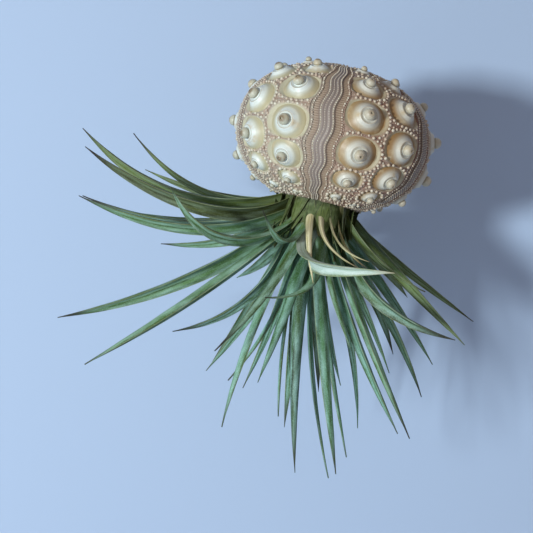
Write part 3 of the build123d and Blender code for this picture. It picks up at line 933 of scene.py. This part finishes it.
def seated(ring, azimuth, point_shares, width_share):
    """A leaf's points from its seat inside the bulb, the seat's turn and the leaf's width share."""
    level_share, out_share = seat_shares[ring]
    turn = math.radians(azimuth)
    seat = np.array([math.cos(turn), math.sin(turn), 0]) * out_share * bulb_radius
    seat[2] = -level_share * bulb_drop
    return np.vstack([seat, np.array(point_shares) * leaf_reach]), turn, width_share


def blade(name, points, turn, width_share, thickness, hugging=False, across=12, along=56):
    """A channelled blade on the curve through its points; a hugging one follows the bulb's round."""
    outward = np.array([math.cos(turn), math.sin(turn), 0])
    stations = np.linspace(0, 1, along + 1)
    middles = curve_at(points, stations)
    runs = curve_at(points, stations + 0.01) - curve_at(points, stations - 0.01)
    runs /= np.linalg.norm(runs, axis=1)[:, None]
    inward, inwards = -outward, []
    for run in runs:
        inward = inward - run * inward.dot(run)
        inward = inward / np.linalg.norm(inward)
        inwards.append(inward)
    inwards = np.array(inwards)
    asides = np.cross(runs, inwards)
    turned = (-face_turn * asides[:, 1])[:, None]
    inwards = inwards * np.cos(turned) + asides * np.sin(turned)
    asides = np.cross(runs, inwards)
    widths = np.interp(stations, station_shares, width_shares) * leaf_width * width_share * fullness
    depths = np.interp(stations, station_shares, channel_shares) * leaf_channel * width_share
    if hugging:
        depths = widths**2 / (8 * bulb_radius) + 0.2 * mm
    bodies = np.interp(stations, station_shares, thickness_shares) * thickness

    def place(u, v):
        row = np.rint(v * along).astype(int)
        side = 2 * u - 1
        bow = (-depths[row] + bodies[row] / 2) * (1 - side**2)
        laid = middles[row] + asides[row] * (side * widths[row] / 2)[:, None] + inwards[row] * bow[:, None]
        return laid + np.array([0, 0, mouth_height])

    piece = laid_grid(name, across, along, place)
    across_shares, along_shares = map_shares(piece)
    rows = np.rint(along_shares * along).astype(int)
    side = 2 * across_shares - 1
    weights = (edge_weight + (1 - edge_weight) * (1 - side**2)) * bodies[rows] / thickness
    weights = np.clip(weights, 0.05, 1)
    thicken(piece, thickness, 0, weights)
    smooth(piece, 70)
    return piece


# %% [markdown]
# ## The finish of a leaf
# The leaf's map runs from one edge to the other and from its base to its tip, so the colour can follow
# both: pale at the base, green along the blade, dry and dark at the tip, with fine lines along it. A
# frost of tiny scales, stronger on young leaves, turns the green to grey.

# %% Leaf finishes
def leaf_finish(name, base, blade_low, blade_high, tip, frost_colour, frost):
    """A finish whose colours run from the leaf's base to its tip."""
    material, tree, shader = new_finish(name, 0.55)
    shader.inputs["Specular IOR Level"].default_value = 0.3
    places = wire(tree, "TexCoord")
    leaf_map, here = places.outputs["UV"], places.outputs["Object"]
    shares = grow("SeparateXYZ", {0: leaf_map})
    along = shares.outputs["Y"]
    from_middle = off_middle(shares.outputs["X"])
    tone = attribute(tree, "tone")
    wander = times(sums("SUBTRACT", noise(here, 90), 0.5), 0.16)
    shifted = plus(along, wander)
    green = mix(tone, blade_low, blade_high)
    other = mix(tone, blade_high, blade_low)
    green = mix(level(noise(here, 55), 0.42, 0.62), green, other)
    green = mix(level(shifted, 0.0, 0.2), base, green)
    broad = noise(stretched(leaf_map, (6, 1.1, 1)), 1.0, 2)
    lines = noise(stretched(leaf_map, (26, 1.4, 1)), 1.0, 2, 0.6)
    # Painted shade darkens the edges; a few old leaves and broad streaks are darker, and fine lines are
    # lighter
    for share, tint in (
        (level(from_middle, 0.68, 0.95), (0.4, 0.42, 0.25)),
        (level(tone, 0.76, 0.84), (0.5, 0.45, 0.2)),
        (level(broad, 0.5, 0.36), (0.42, 0.42, 0.2)),
        (level(lines, 0.42, 0.68), (1.7, 1.6, 1.5)),
    ):
        green = mix(share, green, tinted(green, tint))
    scales = level(noise(here, 3200, 2, 0.6), 0.46, 0.66)
    patches = level(noise(stretched(leaf_map, (2.2, 5, 1)), 1.0, 3), 0.36, 0.68)
    cover = plus(times(scales, 0.45), times(patches, 1.1))
    green = mix(times(cover, frost), green, frost_colour)
    # A painted highlight: a thin yellow-green rim along each edge
    rim_highlight = times(level(from_middle, 0.93, 0.99), 0.35)
    green = mix(rim_highlight, green, (0.34, 0.4, 0.16))
    tip_share = level(plus(shifted, times(tone, 0.16)), 0.9, 1.1)
    colour = mix(tip_share, green, tip)
    end_finish(shader, colour, lines, 0.35, 0.25 * mm)
    return material


# Finishes: colours at base, low and high on the blade, tip and frost, and how much frost
leaf_colours = {
    "leaf_old": (
        (0.13, 0.165, 0.03), (0.05, 0.072, 0.01), (0.1, 0.155, 0.03), (0.02, 0.015, 0.01),
        (0.3, 0.42, 0.3), 0.32,
    ),
    "leaf_mid": (
        (0.13, 0.2, 0.03), (0.036, 0.09, 0.014), (0.085, 0.19, 0.055), (0.028, 0.03, 0.016),
        (0.38, 0.62, 0.53), 0.42,
    ),
    "leaf_young": (
        (0.07, 0.16, 0.02), (0.03, 0.09, 0.016), (0.07, 0.19, 0.08), (0.045, 0.06, 0.035),
        (0.38, 0.66, 0.6), 0.46,
    ),
    "leaf_pale": (
        (0.1, 0.18, 0.06), (0.26, 0.38, 0.3), (0.36, 0.48, 0.42), (0.42, 0.4, 0.26),
        (0.6, 0.7, 0.66), 0.55,
    ),
    "leaf_dry": (
        (0.34, 0.31, 0.13), (0.5, 0.47, 0.26), (0.64, 0.62, 0.42), (0.34, 0.25, 0.12),
        (0.74, 0.74, 0.58), 0.3,
    ),
    # The scales' greens are their own colour, darkened by painted shade under the mouth
    "leaf_scale": (
        (0.03, 0.045, 0.014), (0.045, 0.075, 0.02), (0.11, 0.15, 0.04), (0.24, 0.22, 0.08),
        (0.22, 0.28, 0.14), 0.3,
    ),
}
made = {name: leaf_finish(name, *colours) for name, colours in leaf_colours.items()}
pale_leaf = "second_11"
print("leaf finishes:", ", ".join(made))

# %% Lay all the leaves
old, mid, young = [(made[f"leaf_{age}"], f"{age}_leaves") for age in ("old", "mid", "young")]
pale, dry = (made["leaf_pale"], "mid_leaves"), (made["leaf_dry"], "dry_leaves")
ring_looks = {"outer": old, "second": mid, "third": mid, "fourth": young, "heart": young, "tip": young}
dry_thickness = 0.45 * mm


def lay_leaf(name, leaf, number, look, *nodes, thickness=leaf_thickness):
    """One finished leaf, which stands for a node or for a part of it."""
    piece = blade(name, *seated(*leaf), thickness)
    carry(piece, "tone", np.full(len(piece.data.vertices), tone_of(number)))
    finish, slot_name = look
    dress(piece, finish, "air_plant", slot_name, *nodes)


laid = 0
for ring, leaves in leaf_shares.items():
    for number, leaf in enumerate(leaves):
        name = f"{ring}_{number + 1:02d}"
        look = pale if name == pale_leaf else ring_looks[ring]
        lay_leaf(f"blade_{name}", (ring, *leaf), laid, look, f"leaf_{name}")
        laid += 1
for number, leaf in enumerate(heart_leaf_shares):
    lay_leaf(f"blade_heart_group_{number + 1}", leaf, number, young, "heart_leaves")
for number, leaf in enumerate(dry_leaf_shares):
    lay_leaf(f"blade_dry_{number + 1}", leaf, number, dry, "dry_leaves", thickness=dry_thickness)
print("leaves laid:", laid + len(heart_leaf_shares) + len(dry_leaf_shares))

# %% [markdown]
# ## Bulb and roots
# The bulb of packed leaf bases and the dry roots on top of it are mostly hidden, so they keep their
# imported shapes, streaked from top to bottom, and the bulb is painted dark as shade under the shell's
# mouth. What shows of the bulb just under the mouth is covered by the broad bases of old leaves, which
# overlap like scales: short blades that hug the bulb, with their green darkened by painted shade too.

# %% Finish the bulb and the roots, and lay the leaf-base scales
# The bulb's streaked greens and browns are painted dark, as shade under the shell's mouth
shaded_bulb_finish, tree, shader = new_finish("leaf_bases", 0.6)
here = object_place(tree)
streaks = noise(stretched(here, (420, 420, 60)), 1.0, 3, 0.6)
stops = [(0.3, (0.035, 0.045, 0.018)), (0.5, (0.09, 0.12, 0.04)), (0.68, (0.22, 0.2, 0.1))]
colour = ramp(streaks, stops)
end_finish(shader, colour, streaks, 0.6, 0.5 * mm)
root_finish, tree, shader = new_finish("dry_root", 0.8)
here = object_place(tree)
colour = mix(noise(here, 900), (0.12, 0.08, 0.05), (0.34, 0.24, 0.15))
end_finish(shader, colour, noise(here, 3000), 0.4, 0.1 * mm)
coat(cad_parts["leaf_base_bulb"], shaded_bulb_finish)
coat(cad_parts["roots"], root_finish)

# Rings of scales: how many, drop, radii at foot, belly and tip, length (all mm), and shift in degrees
scale_rings = (
    (18, 0.3, (11.85, 12.7, 14.2), 9.5, 0),
    (16, 3.6, (11.2, 12.1, 13.2), 9.5, 15),
    (12, 7.5, (8.9, 10, 10.8), 9, 4),
)
scale_width, scale_thickness = 0.78, 0.35 * mm
for ring_number, (count, drop, radii, length, shift) in enumerate(scale_rings):
    for number in range(count):
        turn = math.radians(360 * number / count + shift)
        outward = np.array([math.cos(turn), math.sin(turn), 0])
        uneven_length = length * (1 + 0.22 * math.sin(number * 2.4))
        chain = np.array([radius * outward for radius in radii])
        chain[:, 2] = [-drop - uneven_length * step / 2 for step in range(len(radii))]
        name = f"leaf_scale_{ring_number + 1}_{number + 1}"
        piece = blade(name, chain * mm, turn, scale_width, scale_thickness, hugging=True)
        carry(piece, "tone", np.full(len(piece.data.vertices), tone_of(number)))
        dress(piece, made["leaf_scale"], "air_plant", "leaf_bases")

# %% [markdown]
# ## Wall, floor and light
# The holder hangs in front of a pale wall, which takes its soft shadow. Wall and floor are plain sheets
# that are not part of the object, and both are clear from behind, so that it can be seen from there.

# %% Stage
sheet_size = 4
wall_distance = 92 * mm
floor_drop = 420 * mm
wall_colour = (0.405, 0.528, 0.695)


def plain_sheet(name, location, rotation, colour):
    """A plain stage sheet that is clear from behind."""
    bpy.ops.mesh.primitive_plane_add(size=sheet_size, location=location, rotation=rotation)
    sheet = bpy.context.object
    sheet.name = name
    material, tree, shader = new_finish(name, 0.9)
    shader.inputs["Specular IOR Level"].default_value = 0.1
    shader.inputs["Base Color"].default_value = (*colour, 1)
    clear = wire(tree, "BsdfTransparent")
    behind = wire(tree, "NewGeometry").outputs["Backfacing"]
    both = wire(tree, "MixShader", {0: behind, 1: shader.outputs[0], 2: clear.outputs[0]})
    tree.links.new(both.outputs[0], tree.nodes["Material Output"].inputs["Surface"])
    sheet.data.materials.append(material)


plain_sheet("back_wall", (0, wall_distance, 0), (math.radians(90), 0, 0), wall_colour)
plain_sheet("floor", (0, 0, -floor_drop), (0, 0, 0), (0.7, 0.74, 0.8))


def soft_lamp(name, size, place, power, colour):
    """A square lamp that faces the shell."""
    bpy.ops.object.light_add(type="AREA", location=place)
    lamp = bpy.context.object
    lamp.name = name
    lamp.data.size = size
    lamp.data.energy = power
    lamp.data.color = colour
    aim = bpy.data.objects.new(name + "_aim", None)
    aim.location = shell_middle
    scene.collection.objects.link(aim)
    lamp.constraints.new("TRACK_TO").target = aim


soft_lamp("window", 0.1, (-0.51, -0.8, -0.195), 8.4, (0.94, 0.98, 1.0))
scene.world = bpy.data.worlds.new("room")
scene.world.use_nodes = True
air = scene.world.node_tree.nodes["Background"]
air.inputs["Color"].default_value = (1.0, 0.88, 0.92, 1)
air.inputs["Strength"].default_value = 0.34
print("stage: wall, floor, one window and the room's own light")
